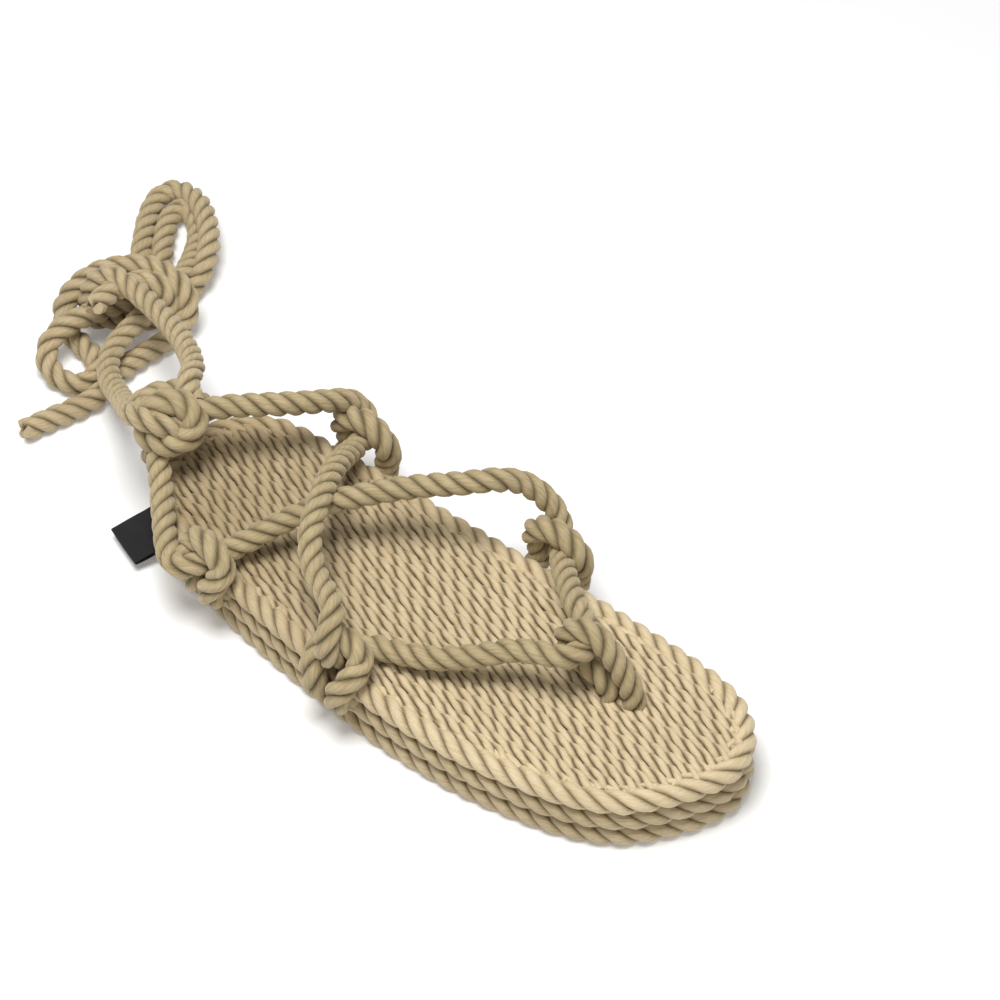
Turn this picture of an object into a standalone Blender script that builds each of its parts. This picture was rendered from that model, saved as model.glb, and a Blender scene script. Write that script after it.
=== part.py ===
"""Right-foot rope sandal: a sole of three stacked rope layers, one rope laced through
five loops as its upper, a knot behind the heel and two long ties that lie in a bundle.

Metres, +Z up, +Y to the toe, +X to the wearer's right, the floor at z = 0.
"""
import math

import bmesh
import bpy
from mathutils import Matrix, Vector

# Driving dimensions, in metres
SOLE_LENGTH = 0.255
BALL_WIDTH = 0.090
SOLE_HEIGHT = 0.0255
LAYER_COUNT = 3
HEEL_END_Y = -0.1305
ROPE = 0.0086
ROW_PITCH = 0.0080
GROOVE_DEPTH = 0.0020
GAP = 0.0003
LEG_SEAT = 0.0080
SEAT_CLEARANCE = 0.0009
TAB_WIDTH = 0.019
TAB_REACH = 0.014
TAB_THICKNESS = 0.0007
TAB_SEAT = 0.0022
TAB_Y = -0.1165

# What follows from them
LAYER = SOLE_HEIGHT / LAYER_COUNT
BORDER = LAYER - GAP
ROPE_RADIUS = ROPE / 2
SEAM_LOW = LAYER
SEAM_HIGH = 2 * LAYER
OUTSIDE = ROPE_RADIUS + 3 * GAP
OUTLINE_POINTS = 52
TUBE_STEP = 0.0052

# The outline of the last, a row for each section from heel to toe:
# share of the sole's length, then the inner and the outer side as shares of the ball's width
OUTLINE = (
    # along, medial, lateral
    (0.000, -0.083, -0.083),
    (0.012, -0.252, 0.086),
    (0.039, -0.372, 0.206),
    (0.080, -0.454, 0.288),
    (0.131, -0.483, 0.322),
    (0.218, -0.487, 0.378),
    (0.316, -0.487, 0.431),
    (0.433, -0.487, 0.478),
    (0.551, -0.487, 0.511),
    (0.669, -0.487, 0.507),
    (0.767, -0.481, 0.467),
    (0.845, -0.470, 0.411),
    (0.912, -0.439, 0.311),
    (0.957, -0.367, 0.161),
    (0.986, -0.267, 0.022),
    (1.000, -0.122, -0.122),
)

# The loops that stand at the sole's edge: side, places of the two legs along y,
# half the width of the arch, the arch's top and how far it leans in from the edge
EDGE_LOOPS = {
    # name: (side, rear leg y, front leg y, half arch, top z, lean)
    "loop_front_lateral": (1, -0.0205, -0.0065, 0.0106, 0.0395, 0.0115),
    "loop_front_medial": (-1, 0.0055, 0.0275, 0.0110, 0.0445, 0.0020),
    "loop_rear_lateral": (1, -0.0872, -0.0742, 0.0104, 0.0405, 0.0030),
    "loop_rear_medial": (-1, -0.0830, -0.0610, 0.0110, 0.0445, 0.0020),
}

# The loop between the toes: its two legs in the top layer, and its rope from leg to leg
THONG_REAR = (-0.0045, 0.0690)
THONG_FRONT = (-0.0050, 0.0805)
THONG_ARCH = (
    (-0.0050, 0.0650, 0.0315),
    (-0.0060, 0.0560, 0.0360),
    (-0.0066, 0.0518, 0.0420),
    (-0.0070, 0.0545, 0.0495),
    (-0.0070, 0.0620, 0.0524),
    (-0.0068, 0.0700, 0.0496),
    (-0.0062, 0.0745, 0.0410),
    (-0.0056, 0.0785, 0.0330),
)

# The loop at the back end of the heel
HEEL_LOOP_X = -0.0075
HEEL_LOOP_HALF = 0.0090
HEEL_LOOP_TOP = 0.0370

# The knot behind the heel
KNOT_CENTRE = (0.0010, -0.1225, 0.0495)
KNOT_RADIUS = 0.0083
KNOT_WAVE = 0.0040
KNOT_ROPE = 0.0070
KNOT_POINTS = 40

# The bundle of the ties on the floor: its plan from the ring's side to the far loops, and its height
HANK_PLAN = (
    (-0.0480, -0.1930),
    (-0.0640, -0.1830),
    (-0.0860, -0.1850),
    (-0.1080, -0.1960),
    (-0.1270, -0.2160),
    (-0.1340, -0.2340),
    (-0.1240, -0.2440),
    (-0.1060, -0.2390),
    (-0.0860, -0.2300),
    (-0.0640, -0.2280),
    (-0.0500, -0.2190),
)
HANK_HEIGHT = 0.0260

# Colours
ROPE_LIGHT = (0.60, 0.50, 0.33, 1.0)
ROPE_MID = (0.52, 0.42, 0.27, 1.0)
ROPE_DARK = (0.45, 0.36, 0.22, 1.0)
TAB_BLACK = (0.012, 0.012, 0.013, 1.0)


def clear_scene():
    for item in list(bpy.data.objects):
        bpy.data.objects.remove(item, do_unlink=True)


def new_collection(name):
    group = bpy.data.collections.new(name)
    bpy.context.scene.collection.children.link(group)
    return group


def material(name, colour, roughness):
    made = bpy.data.materials.new(name)
    made.use_nodes = True
    shader = made.node_tree.nodes["Principled BSDF"]
    shader.inputs["Base Color"].default_value = colour
    shader.inputs["Roughness"].default_value = roughness
    shader.inputs["Metallic"].default_value = 0.0
    return made


def spline_point(points, index, share, closed):
    """One place on the Catmull-Rom curve through the points."""
    count = len(points)

    def at(place):
        return points[place % count] if closed else points[min(max(place, 0), count - 1)]

    a, b, c, d = (at(index + shift) for shift in (-1, 0, 1, 2))
    square, cube = share * share, share * share * share
    return 0.5 * (2 * b + (c - a) * share + (2 * a - 5 * b + 4 * c - d) * square
                  + (3 * b - a - 3 * c + d) * cube)


def smooth(points, step=None, count=None, closed=False, fine=24):
    """Points at an even spacing on the smooth curve through the route's own points."""
    points = [Vector(point) for point in points]
    spans = len(points) if closed else len(points) - 1
    dense = [spline_point(points, index, part / fine, closed) for index in range(spans) for part in range(fine)]
    dense.append(points[0].copy() if closed else points[-1].copy())
    reach = [0.0]
    for first, second in zip(dense, dense[1:]):
        reach.append(reach[-1] + (second - first).length)
    pieces = count if count else max(2, round(reach[-1] / step))
    wanted = [reach[-1] * number / pieces for number in range(pieces + (0 if closed else 1))]
    result, place = [], 0
    for distance in wanted:
        while place < len(reach) - 2 and reach[place + 1] < distance:
            place += 1
        span = reach[place + 1] - reach[place]
        share = 0.0 if span == 0 else (distance - reach[place]) / span
        result.append(dense[place].lerp(dense[place + 1], share))
    return result


def outline_points():
    """The sole's true outline as a closed run of points, heel end first, inner side up to the toe."""
    rows = [(HEEL_END_Y + along * SOLE_LENGTH, medial * BALL_WIDTH, lateral * BALL_WIDTH)
            for along, medial, lateral in OUTLINE]
    inner = [(medial, y, 0.0) for y, medial, lateral in rows]
    outer = [(lateral, y, 0.0) for y, medial, lateral in reversed(rows[1:-1])]
    return smooth(inner + outer, count=OUTLINE_POINTS, closed=True)


def inset(points, distance):
    """The closed run moved towards its inside."""
    count = len(points)
    moved = []
    for index, point in enumerate(points):
        along = (points[(index + 1) % count] - points[index - 1]).normalized()
        moved.append(point + Vector((along.y, -along.x, 0.0)) * distance)
    return moved


def edge_x(y, side):
    """Where the sole's outer face lies at this y, on one side of the foot."""
    share = (y - HEEL_END_Y) / SOLE_LENGTH
    column = 1 if side < 0 else 2
    for low, high in zip(OUTLINE, OUTLINE[1:]):
        if low[0] <= share <= high[0]:
            part = (share - low[0]) / (high[0] - low[0])
            return BALL_WIDTH * (low[column] + part * (high[column] - low[column]))
    return 0.0


def object_from_mesh(name, mesh, group):
    made = bpy.data.objects.new(name, mesh)
    group.objects.link(made)
    return made


def mesh_from_curve(curve_object, group):
    """The curve's evaluated shape as a mesh object with its caps welded on."""
    bpy.context.view_layer.update()
    graph = bpy.context.evaluated_depsgraph_get()
    mesh = bpy.data.meshes.new_from_object(curve_object.evaluated_get(graph))
    shape = bmesh.new()
    shape.from_mesh(mesh)
    bmesh.ops.remove_doubles(shape, verts=shape.verts, dist=0.00001)
    bmesh.ops.recalc_face_normals(shape, faces=shape.faces)
    shape.to_mesh(mesh)
    shape.free()
    made = object_from_mesh(curve_object.name, mesh, group)
    made.matrix_world = curve_object.matrix_world.copy()
    old = curve_object.name
    bpy.data.objects.remove(curve_object, do_unlink=True)
    made.name = old
    return made


def tube(name, points, radius, group, closed=False, resolution=2, tilt=0.0):
    """A rope as a plain round tube along the points."""
    data = bpy.data.curves.new(name, "CURVE")
    data.dimensions = "3D"
    data.bevel_depth = radius
    data.bevel_resolution = resolution
    data.use_fill_caps = not closed
    spline = data.splines.new("POLY")
    spline.points.add(len(points) - 1)
    for slot, point in zip(spline.points, points):
        slot.co = (point.x, point.y, point.z, 1.0)
        slot.tilt = tilt
    spline.use_cyclic_u = closed
    made = bpy.data.objects.new(name, data)
    group.objects.link(made)
    return mesh_from_curve(made, group)


def plate(name, points, low, high, group):
    """A flat plate of the given outline between two heights."""
    data = bpy.data.curves.new(name, "CURVE")
    data.dimensions = "2D"
    data.fill_mode = "BOTH"
    data.extrude = (high - low) / 2
    spline = data.splines.new("POLY")
    spline.points.add(len(points) - 1)
    for slot, point in zip(spline.points, points):
        slot.co = (point.x, point.y, 0.0, 1.0)
    spline.use_cyclic_u = True
    made = bpy.data.objects.new(name, data)
    made.location.z = (low + high) / 2
    group.objects.link(made)
    return mesh_from_curve(made, group)


def rod(name, start, end, radius, group, sides=12, turn=0.0):
    """A straight round bar between two points, made from a cylinder."""
    start, end = Vector(start), Vector(end)
    shape = bmesh.new()
    bmesh.ops.create_cone(shape, cap_ends=True, segments=sides, radius1=radius, radius2=radius,
                          depth=(end - start).length, matrix=Matrix.Rotation(turn, 4, "Z"))
    mesh = bpy.data.meshes.new(name)
    shape.to_mesh(mesh)
    shape.free()
    made = object_from_mesh(name, mesh, group)
    made.matrix_world = (Matrix.Translation((start + end) / 2)
                         @ (end - start).to_track_quat("Z", "Y").to_matrix().to_4x4())
    return made


def hide_cutter(item):
    item.hide_render = True
    item.display_type = "WIRE"


def combine(base, others, operation):
    """Join or cut the base with all the others at once, and keep the result in its mesh."""
    group = new_collection("with_" + base.name)
    for other in others:
        group.objects.link(other)
        hide_cutter(other)
    change = base.modifiers.new(operation, "BOOLEAN")
    change.operand_type = "COLLECTION"
    change.collection = group
    change.operation = operation
    change.solver = "EXACT"
    bpy.context.view_layer.update()
    graph = bpy.context.evaluated_depsgraph_get()
    mesh = bpy.data.meshes.new_from_object(base.evaluated_get(graph))
    base.modifiers.clear()
    shape = bmesh.new()
    shape.from_mesh(mesh)
    bmesh.ops.remove_doubles(shape, verts=shape.verts, dist=0.00001)
    bmesh.ops.dissolve_limit(shape, angle_limit=math.radians(0.5), verts=shape.verts, edges=shape.edges)
    bmesh.ops.triangulate(shape, faces=shape.faces)
    shape.to_mesh(mesh)
    shape.free()
    base.data = mesh
    bpy.data.collections.remove(group)
    return base


def finish(item, name, look, parts):
    """Name the piece, give it its material and put it with the parts."""
    item.name = name
    item.data.name = name
    item.data.materials.clear()
    item.data.materials.append(look)
    for group in list(item.users_collection):
        group.objects.unlink(item)
    parts.objects.link(item)
    item.data.shade_smooth()
    item.data.set_sharp_from_angle(angle=math.radians(50))
    return item


def row_places():
    """The x of each straight rope row inside the border, and where it meets the border at both ends."""
    ring = inset(outline_points(), BORDER)
    left = min(point.x for point in ring)
    right = max(point.x for point in ring)
    count = int((right - left) / ROW_PITCH)
    first = (left + right) / 2 - (count - 1) * ROW_PITCH / 2
    rows = []
    for number in range(count):
        x = first + number * ROW_PITCH
        crossings = []
        for start, end in zip(ring, ring[1:] + ring[:1]):
            if (start.x - x) * (end.x - x) < 0:
                share = (x - start.x) / (end.x - start.x)
                crossings.append(start.y + share * (end.y - start.y))
        if len(crossings) > 1:
            rows.append((x, min(crossings), max(crossings)))
    return rows


def sole_layer(level, cutters, rows_up=False, rows_down=False):
    """One layer of the sole: a border rope round a plate, with straight rope rows on a face that shows."""
    low = level * LAYER
    middle = low + LAYER / 2
    ring = outline_points()
    floor = low + (GROOVE_DEPTH if rows_down else GAP)
    roof = low + LAYER - (GROOVE_DEPTH if rows_up else GAP)
    base = plate("plate_%d" % level, inset(ring, BORDER * 0.6), floor, roof, cutters)
    border = [point + Vector((0.0, 0.0, middle)) for point in inset(ring, BORDER / 2)]
    pieces = [tube("border_%d" % level, border, BORDER / 2, cutters, closed=True)]
    flat_radius = BORDER / 2 / math.cos(math.pi / 8)
    for number, (x, start, end) in enumerate(row_places() if rows_up or rows_down else ()):
        height = middle - (GAP / 2 if rows_down else 0.0)
        pieces.append(rod("row_%d_%d" % (level, number), (x, start - BORDER / 4, height),
                          (x, end + BORDER / 4, height), flat_radius, cutters, sides=8, turn=math.pi / 8))
    return combine(base, pieces, "UNION")


def leg_place(name, rear):
    """Where a leg of an edge loop leaves the sole."""
    side, rear_y, front_y = EDGE_LOOPS[name][:3]
    y = rear_y if rear else front_y
    return side, y, edge_x(y, side)


def edge_loop_points(name):
    """The rope of one edge loop: out of the seam, up outside the border, over the arch and back."""
    side, rear_y, front_y, half, top, lean = EDGE_LOOPS[name]
    middle = (rear_y + front_y) / 2
    points = []
    for y, sense in ((rear_y, -1), (front_y, 1)):
        edge = edge_x(y, side)
        out = edge + side * OUTSIDE
        arch_x = out - side * lean
        leg = [
            (edge - side * LEG_SEAT, y, SEAM_HIGH),
            (edge - side * ROPE_RADIUS * 0.3, y, SEAM_HIGH),
            (edge + side * OUTSIDE * 0.75, y, SEAM_HIGH + ROPE_RADIUS * 0.2),
            (out + side * GAP, y, SEAM_HIGH + ROPE_RADIUS * 1.5),
            (out - side * lean * 0.25, middle + sense * half * 0.95, (SEAM_HIGH + top) / 2 + ROPE_RADIUS * 0.2),
            (arch_x + side * lean * 0.15, middle + sense * half, top - half * 0.75),
            (arch_x, middle + sense * half * 0.74, top - half * 0.28),
        ]
        points.append(leg)
    centre = (edge_x(middle, side) + side * (OUTSIDE - lean), middle, top)
    return points[0] + [centre] + points[1][::-1]


def thong_points():
    """The loop between the toes, from one seat in the top layer over the strap to the other."""
    deep = SEAM_HIGH + 3 * GAP
    (rear_x, rear_y), (front_x, front_y) = THONG_REAR, THONG_FRONT
    rear = [(rear_x, rear_y, deep), (rear_x, rear_y, SOLE_HEIGHT)]
    front = [(front_x, front_y, SOLE_HEIGHT), (front_x, front_y, deep)]
    return rear + list(THONG_ARCH) + front


def side_tab(group):
    """The blank ribbon tab that stands out of the lower seam at the heel's outer side."""
    ring = outline_points()
    near = min(range(len(ring)), key=lambda index: abs(ring[index].y - TAB_Y) + (ring[index].x < 0))
    along = (ring[(near + 1) % len(ring)] - ring[near - 1]).normalized()
    outward = Vector((-along.y, along.x, 0.0))
    bpy.ops.mesh.primitive_cube_add(size=1.0)
    made = bpy.context.object
    made.scale = (TAB_REACH + TAB_SEAT, TAB_WIDTH, TAB_THICKNESS)
    made.rotation_euler.z = math.atan2(outward.y, outward.x)
    made.location = ring[near] + outward * (TAB_REACH - TAB_SEAT) / 2 + Vector((0.0, 0.0, SEAM_LOW))
    bpy.ops.object.transform_apply(location=False, rotation=False, scale=True)
    for old in list(made.users_collection):
        old.objects.unlink(made)
    group.objects.link(made)
    return made


def heel_back():
    """Where the sole's back end lies at the heel loop's legs."""
    ring = outline_points()
    near = min(ring, key=lambda point: abs(point.x - HEEL_LOOP_X - HEEL_LOOP_HALF) + (point.y > 0))
    return near.y


def heel_loop_points():
    """The loop at the back end: out of the seam behind the heel, up to the knot and back."""
    points = []
    for sense in (-1, 1):
        x = HEEL_LOOP_X + sense * HEEL_LOOP_HALF
        back = heel_back()
        points.append([
            (x, back + LEG_SEAT, SEAM_HIGH),
            (x, back + ROPE_RADIUS, SEAM_HIGH),
            (x, back - OUTSIDE * 0.55, SEAM_HIGH + ROPE_RADIUS * 0.25),
            (x, back - OUTSIDE, SEAM_HIGH + ROPE_RADIUS * 1.35),
            (x, back - OUTSIDE, (SEAM_HIGH + HEEL_LOOP_TOP) / 2),
            (x - sense * HEEL_LOOP_HALF * 0.25, back - OUTSIDE, HEEL_LOOP_TOP - HEEL_LOOP_HALF * 0.30),
        ])
    centre = (HEEL_LOOP_X, HEEL_END_Y - OUTSIDE, HEEL_LOOP_TOP)
    return points[0] + [centre] + points[1][::-1]


# The lacing, point by point from the knot: first by the outer side, over the instep to the inner
# front loop and down to the toes, then from the toes by the outer front loop and the inner rear
# loop back to the knot
STRAP_OUTER = (
    (0.0120, -0.1325, 0.0405),
    (0.0180, -0.1320, 0.0345),
    (0.0230, -0.1250, 0.0290),
    (0.0280, -0.1150, 0.0245),
    (0.0350, -0.1045, 0.0250),
    (0.0425, -0.0960, 0.0285),
    (0.0462, -0.0876, 0.0322),
    (0.0402, -0.0812, 0.0318),
    (0.0300, -0.0790, 0.0314),
    (0.0200, -0.0712, 0.0350),
    (0.0090, -0.0640, 0.0400),
    (-0.0030, -0.0540, 0.0462),
    (-0.0140, -0.0430, 0.0490),
    (-0.0240, -0.0300, 0.0530),
    (-0.0330, -0.0160, 0.0570),
    (-0.0410, -0.0040, 0.0575),
    (-0.0490, 0.0040, 0.0545),
    (-0.0558, 0.0095, 0.0495),
    (-0.0565, 0.0140, 0.0418),
    (-0.0500, 0.0160, 0.0350),
    (-0.0410, 0.0185, 0.0350),
    (-0.0325, 0.0285, 0.0380),
    (-0.0220, 0.0435, 0.0430),
)
STRAP_INNER = (
    (-0.0275, 0.0372, 0.0410),
    (-0.0220, 0.0435, 0.0430),
    (-0.0180, 0.0500, 0.0430),
    (-0.0155, 0.0565, 0.0420),
    (-0.0115, 0.0615, 0.0428),
    (-0.0055, 0.0630, 0.0430),
    (0.0000, 0.0600, 0.0426),
    (0.0022, 0.0540, 0.0420),
    (0.0040, 0.0470, 0.0420),
    (0.0078, 0.0390, 0.0410),
    (0.0151, 0.0275, 0.0375),
    (0.0225, 0.0150, 0.0340),
    (0.0265, 0.0030, 0.0320),
    (0.0300, -0.0085, 0.0305),
    (0.0370, -0.0130, 0.0302),
    (0.0435, -0.0138, 0.0330),
    (0.0463, -0.0140, 0.0395),
    (0.0440, -0.0150, 0.0460),
    (0.0375, -0.0180, 0.0495),
    (0.0310, -0.0270, 0.0480),
    (0.0260, -0.0360, 0.0480),
    (0.0160, -0.0460, 0.0510),
    (0.0000, -0.0540, 0.0530),
    (-0.0170, -0.0620, 0.0520),
    (-0.0310, -0.0680, 0.0440),
    (-0.0400, -0.0712, 0.0365),
    (-0.0490, -0.0725, 0.0355),
    (-0.0565, -0.0755, 0.0405),
    (-0.0555, -0.0810, 0.0490),
    (-0.0480, -0.0860, 0.0530),
    (-0.0370, -0.0920, 0.0530),
    (-0.0250, -0.1000, 0.0525),
    (-0.0150, -0.1080, 0.0520),
    (-0.0091, -0.1129, 0.0517),
)

# The ties, point by point: two from the knot to the bundle, the free end from the bundle over the
# floor, and the ring at the bundle's near side
TIE_ONE = (
    (-0.0137, -0.1276, 0.0538),
    (-0.0217, -0.1362, 0.0480),
    (-0.0328, -0.1497, 0.0400),
    (-0.0430, -0.1640, 0.0330),
    (-0.0510, -0.1760, 0.0306),
    (-0.0573, -0.1880, 0.0306),
    (-0.0600, -0.1990, 0.0306),
    (-0.0640, -0.2090, 0.0306),
)
TIE_TWO = (
    (0.0050, -0.1332, 0.0475),
    (0.0030, -0.1400, 0.0415),
    (-0.0010, -0.1470, 0.0355),
    (-0.0056, -0.1554, 0.0290),
    (-0.0120, -0.1650, 0.0200),
    (-0.0180, -0.1745, 0.0140),
    (-0.0263, -0.1822, 0.0135),
    (-0.0380, -0.1845, 0.0135),
    (-0.0503, -0.1862, 0.0135),
)
TIE_END = (
    (-0.0560, -0.1795, 0.0044),
    (-0.0410, -0.1775, 0.0044),
    (-0.0320, -0.1765, 0.0044),
    (-0.0230, -0.1780, 0.0044),
    (-0.0116, -0.1815, 0.0044),
    (-0.0013, -0.1870, 0.0044),
    (0.0085, -0.1895, 0.0044),
    (0.0160, -0.1920, 0.0044),
)
TIE_RING = (
    (-0.0455, -0.2075, 0.0130),
    (-0.0385, -0.2125, 0.0110),
    (-0.0290, -0.2165, 0.0090),
    (-0.0200, -0.2130, 0.0070),
    (-0.0165, -0.2050, 0.0055),
    (-0.0180, -0.1960, 0.0046),
    (-0.0260, -0.1905, 0.0046),
    (-0.0340, -0.1935, 0.0046),
    (-0.0385, -0.1990, 0.0046),
)


def knot_points():
    """The knot's rope: it goes twice round its middle while it passes three times over itself."""
    centre = Vector(KNOT_CENTRE)
    points = []
    for number in range(KNOT_POINTS):
        turn = 2 * math.pi * number / KNOT_POINTS
        reach = KNOT_RADIUS + KNOT_WAVE * math.cos(3 * turn)
        points.append(centre + Vector((reach * math.cos(2 * turn), KNOT_WAVE * 1.1 * math.sin(3 * turn),
                                       reach * math.sin(2 * turn))))
    return points


def hank_outline():
    """The bundle's plan as a closed run of points."""
    return smooth([(x, y, 0.0) for x, y in HANK_PLAN], count=22, closed=True)


def build():
    clear_scene()
    parts = new_collection("rope_sandal")
    cutters = new_collection("cutters")
    rope = material("rope", ROPE_MID, 0.75)
    rope_light = material("rope_light", ROPE_LIGHT, 0.75)
    rope_dark = material("rope_dark", ROPE_DARK, 0.8)

    top = sole_layer(2, cutters, rows_up=True)
    middle = sole_layer(1, cutters)
    bottom = sole_layer(0, cutters, rows_down=True)

    thong_seats = [rod("seat_thong_%d" % number, (x, y, SEAM_HIGH - ROPE), (x, y, SOLE_HEIGHT + ROPE),
                       ROPE_RADIUS + SEAT_CLEARANCE, cutters)
                   for number, (x, y) in enumerate((THONG_REAR, THONG_FRONT))]
    seats = []
    for name in EDGE_LOOPS:
        for rear in (True, False):
            side, y, edge = leg_place(name, rear)
            seats.append(rod("seat_%s_%d" % (name, rear), (edge - side * (LEG_SEAT + SEAT_CLEARANCE), y, SEAM_HIGH),
                             (edge + side * ROPE, y, SEAM_HIGH), ROPE_RADIUS + SEAT_CLEARANCE, cutters))
    for sense in (-1, 1):
        x = HEEL_LOOP_X + sense * HEEL_LOOP_HALF
        seats.append(rod("seat_heel_%d" % sense, (x, heel_back() + LEG_SEAT + SEAT_CLEARANCE, SEAM_HIGH),
                         (x, heel_back() - 2 * ROPE, SEAM_HIGH), ROPE_RADIUS + SEAT_CLEARANCE, cutters))
    combine(top, seats + thong_seats, "DIFFERENCE")
    combine(middle, seats, "DIFFERENCE")
    finish(top, "sole_top_layer", rope, parts)
    finish(middle, "sole_middle_layer", rope, parts)
    finish(bottom, "sole_bottom_layer", rope_dark, parts)

    finish(side_tab(cutters), "side_tab", material("tab_black", TAB_BLACK, 0.6), parts)

    for name in EDGE_LOOPS:
        points = smooth(edge_loop_points(name), step=TUBE_STEP)
        finish(tube(name, points, ROPE_RADIUS, cutters), name, rope_light, parts)
    finish(tube("thong_loop", smooth(thong_points(), step=TUBE_STEP), ROPE_RADIUS, cutters),
           "thong_loop", rope_light, parts)
    finish(tube("heel_loop", smooth(heel_loop_points(), step=TUBE_STEP), ROPE_RADIUS, cutters),
           "heel_loop", rope_light, parts)
    outer = tube("strap_outer", smooth(STRAP_OUTER, step=TUBE_STEP), ROPE_RADIUS, cutters)
    inner = tube("strap_inner", smooth(STRAP_INNER, step=TUBE_STEP), ROPE_RADIUS, cutters, tilt=math.pi / 8)
    finish(combine(outer, [inner], "UNION"), "upper_straps", rope, parts)

    finish(tube("heel_knot", knot_points(), KNOT_ROPE / 2, cutters, closed=True), "heel_knot", rope_light, parts)
    for name, route in (("tie_one", TIE_ONE), ("tie_two", TIE_TWO), ("tie_end", TIE_END), ("tie_ring", TIE_RING)):
        finish(tube(name, smooth(route, step=2 * ROPE), ROPE_RADIUS, cutters), name, rope_light, parts)
    finish(plate("tie_hank", hank_outline(), 0.0, HANK_HEIGHT, cutters), "tie_hank", rope_light, parts)


build()
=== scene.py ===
# %% [markdown]
# # A rope sandal, dressed over its solids
#
# The real sandal is nothing but laid rope: three layers of it make the sole, one length is
# laced through five loops as the upper, and two long ties lie in a bundle behind the heel.
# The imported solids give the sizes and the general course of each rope. This script lays real
# three-strand rope along routes of its own, which follow the photograph more closely. They
# leave the solids' routes by up to about 12 mm in the lacing and 10 mm in the ties. A fibre
# material finishes the rope.
#
# Metres, +Z up, +Y to the toe, +X to the wearer's right. The floor is at z = 0.

# %% Load the frame
import math

import bmesh
import bpy
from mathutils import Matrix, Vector


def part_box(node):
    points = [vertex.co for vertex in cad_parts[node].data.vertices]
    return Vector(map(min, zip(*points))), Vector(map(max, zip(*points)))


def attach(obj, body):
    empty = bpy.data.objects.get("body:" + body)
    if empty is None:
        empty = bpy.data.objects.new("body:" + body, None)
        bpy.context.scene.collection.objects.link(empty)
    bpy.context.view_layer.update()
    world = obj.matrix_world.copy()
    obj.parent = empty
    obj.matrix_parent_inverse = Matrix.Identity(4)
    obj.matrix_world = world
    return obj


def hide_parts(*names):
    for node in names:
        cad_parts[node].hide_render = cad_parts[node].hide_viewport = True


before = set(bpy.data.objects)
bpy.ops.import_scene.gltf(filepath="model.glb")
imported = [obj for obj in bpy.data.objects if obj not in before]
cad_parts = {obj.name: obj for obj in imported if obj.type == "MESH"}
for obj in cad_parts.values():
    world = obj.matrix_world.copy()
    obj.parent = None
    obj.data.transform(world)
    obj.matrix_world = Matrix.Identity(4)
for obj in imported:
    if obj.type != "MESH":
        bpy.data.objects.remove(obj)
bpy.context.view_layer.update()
BODY = "root"

# %% Helpers for objects


def new_object(name, data):
    """An object with this data, in the scene."""
    made = bpy.data.objects.new(name, data)
    bpy.context.scene.collection.objects.link(made)
    return made


def aim(item, direction):
    """Turns a camera or a lamp to look in a direction."""
    item.rotation_mode = "QUATERNION"
    item.rotation_quaternion = direction.to_track_quat("-Z", "Y")



# %% [markdown]
# ## The camera
#
# The view is from behind the outer side and rather high. It is given as an azimuth, an
# elevation and a distance from one target point. A lens shift puts that point where it
# belongs in the image, so that the camera itself needs no roll.

# %% The camera
AZIMUTH = math.radians(128.3)
ELEVATION = math.radians(49.4)
DISTANCE = 1.5
TARGET = Vector((0.0, 0.0, 0.0125))
IMAGE_SIZE = 1000
TARGET_PIXEL = (440, 640)
PIXELS_PER_METRE = 2790
SENSOR_WIDTH = 36.0
CLIP_START, CLIP_END = 0.05, 20.0


def build_camera():
    """A camera that sees one metre at the target as so many pixels."""
    data = bpy.data.cameras.new("photo_camera")
    data.sensor_width = SENSOR_WIDTH
    data.lens = data.sensor_width * PIXELS_PER_METRE * DISTANCE / IMAGE_SIZE
    data.shift_x = (IMAGE_SIZE / 2 - TARGET_PIXEL[0]) / IMAGE_SIZE
    data.shift_y = (TARGET_PIXEL[1] - IMAGE_SIZE / 2) / IMAGE_SIZE
    data.clip_start, data.clip_end = CLIP_START, CLIP_END
    camera = new_object("photo_camera", data)
    back = Vector((math.sin(AZIMUTH) * math.cos(ELEVATION),
                   -math.cos(AZIMUTH) * math.cos(ELEVATION), math.sin(ELEVATION)))
    camera.location = TARGET + back * DISTANCE
    aim(camera, -back)
    bpy.context.scene.camera = camera
    return camera


camera = build_camera()
print("lens in mm:", round(camera.data.lens, 1))

# %% Places picked in the photograph
BACK = (math.sin(AZIMUTH) * math.cos(ELEVATION), -math.cos(AZIMUTH) * math.cos(ELEVATION),
        math.sin(ELEVATION))
RIGHT = (math.cos(AZIMUTH), math.sin(AZIMUTH), 0.0)
UP = (-math.sin(ELEVATION) * math.sin(AZIMUTH), math.sin(ELEVATION) * math.cos(AZIMUTH),
      math.cos(ELEVATION))
EYE = tuple(target + DISTANCE * part for target, part in zip(TARGET, BACK))
PICK_DIGITS = 4


def sight_line(column, row):
    """The direction in which the camera sees this place of the image."""
    across = (column - TARGET_PIXEL[0]) / (PIXELS_PER_METRE * DISTANCE)
    upward = (TARGET_PIXEL[1] - row) / (PIXELS_PER_METRE * DISTANCE)
    return tuple(across * side + upward * rise - back for side, rise, back in zip(RIGHT, UP, BACK))


def seen_at(column, row, height):
    """The point of this height that the camera sees there, to a tenth of a millimetre."""
    way = sight_line(column, row)
    reach = (height - EYE[2]) / way[2]
    return tuple(round(start + reach * part, PICK_DIGITS) for start, part in zip(EYE, way))


def seen_near(middle, column, row, forward):
    """The point that the camera sees there, so far in front of the plane through the middle."""
    way = sight_line(column, row)
    depth = sum((place - start) * back for place, start, back in zip(middle, EYE, BACK))
    reach = depth / sum(part * back for part, back in zip(way, BACK))
    return tuple(round(start + reach * part + back * forward, PICK_DIGITS)
                 for start, part, back in zip(EYE, way, BACK))


print("the camera's place:", [round(value, 3) for value in EYE])

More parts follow.
